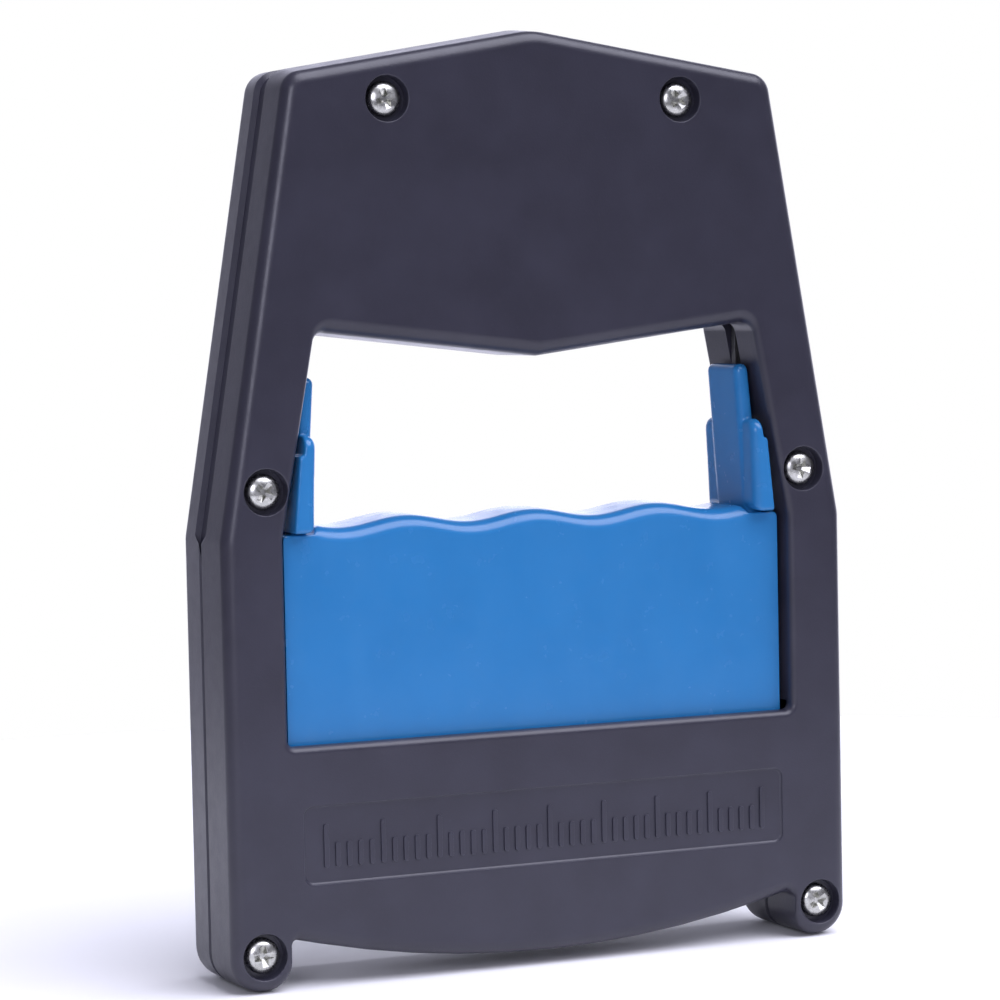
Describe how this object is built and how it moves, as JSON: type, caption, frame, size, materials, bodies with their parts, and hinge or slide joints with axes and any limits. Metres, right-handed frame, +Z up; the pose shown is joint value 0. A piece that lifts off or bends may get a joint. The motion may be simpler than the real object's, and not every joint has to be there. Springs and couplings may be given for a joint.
{
  "type": "hand dynamometer",
  "caption": "Squeeze-grip hand dynamometer: five-sided two-shell case with a hand opening, a wavy blue grip sliding on springs, and a round dial with a pointer and a hold pointer.",
  "frame": {"origin": "middle of the base of the overall box, under the two feet", "axes": "+X across the hand, towards the right when the back cover is seen; +Y from the back cover towards the dial; +Z up, from the feet to the dial end"},
  "size_m": [0.111, 0.025, 0.1531],
  "materials": {
    "case_plastic": "fine moulded grain, charcoal with a slight violet tint",
    "grip_plastic": "semi-gloss moulded blue",
    "zinc_screw": "bright zinc plate",
    "steel_strip": "rolled strip",
    "spring_steel": "drawn and oiled",
    "nylon": "natural nylon",
    "pad_rubber": "smooth rubber",
    "brass_sheet": "rolled sheet",
    "brass_turned": "fine turned",
    "dial_white": "printed white card on metal",
    "pointer_black": "satin black paint",
    "pointer_red": "satin red paint",
    "knob_black": "satin moulded",
    "lens_clear": "clear moulded acrylic"
  },
  "bodies": {
    "case": {"back_cover": "case_plastic", "front_cover": "case_plastic", "case_screws": "zinc_screw", "spring_left": "spring_steel", "spring_right": "spring_steel", "guide_rod_left": "spring_steel", "guide_rod_right": "spring_steel", "spring_seat_left": "zinc_screw", "spring_seat_right": "zinc_screw", "stop_pads": "pad_rubber", "movement_plate": "brass_sheet", "movement_screws": "zinc_screw", "shaft_bushes": "brass_turned", "dial_plate": "dial_white", "dial_screws": "zinc_screw", "lens_gasket": "pad_rubber", "dial_lens": "lens_clear", "bezel_ring": "knob_black"},
    "grip": {"grip": "grip_plastic", "link_left": "steel_strip", "link_right": "steel_strip", "link_rivets": "zinc_screw", "rack_yoke": "steel_strip", "yoke_rivets": "zinc_screw", "thrust_washer_left": "nylon", "thrust_washer_right": "nylon"},
    "pointer": {"pinion": "brass_turned", "pointer": "pointer_black"},
    "hold_pointer": {"max_pointer": "pointer_red", "drag_washer": "nylon", "reset_knob": "knob_black"}
  },
  "joints": [
    {"name": "grip_slide", "type": "slide", "parent": "case", "child": "grip", "axis": [0, 0, -1], "range_m": [0, 0.0099], "stiffness_N_per_m": 95000, "springref_m": -0.0005, "deforming": ["spring_left", "spring_right"]},
    {"name": "pointer_spin", "type": "hinge", "parent": "case", "child": "pointer", "pos_m": [0, 0.0025, 0.1265], "axis": [0, -1, 0], "range_deg": [0, 270.5]},
    {"name": "hold_pointer_spin", "type": "hinge", "parent": "case", "child": "hold_pointer", "pos_m": [0, 0.006, 0.1265], "axis": [0, -1, 0], "range_deg": [0, 270.5]}
  ],
  "couplings": [
    {"joint": "pointer_spin", "follows": "grip_slide", "rad_per_m": 476.19}
  ]
}
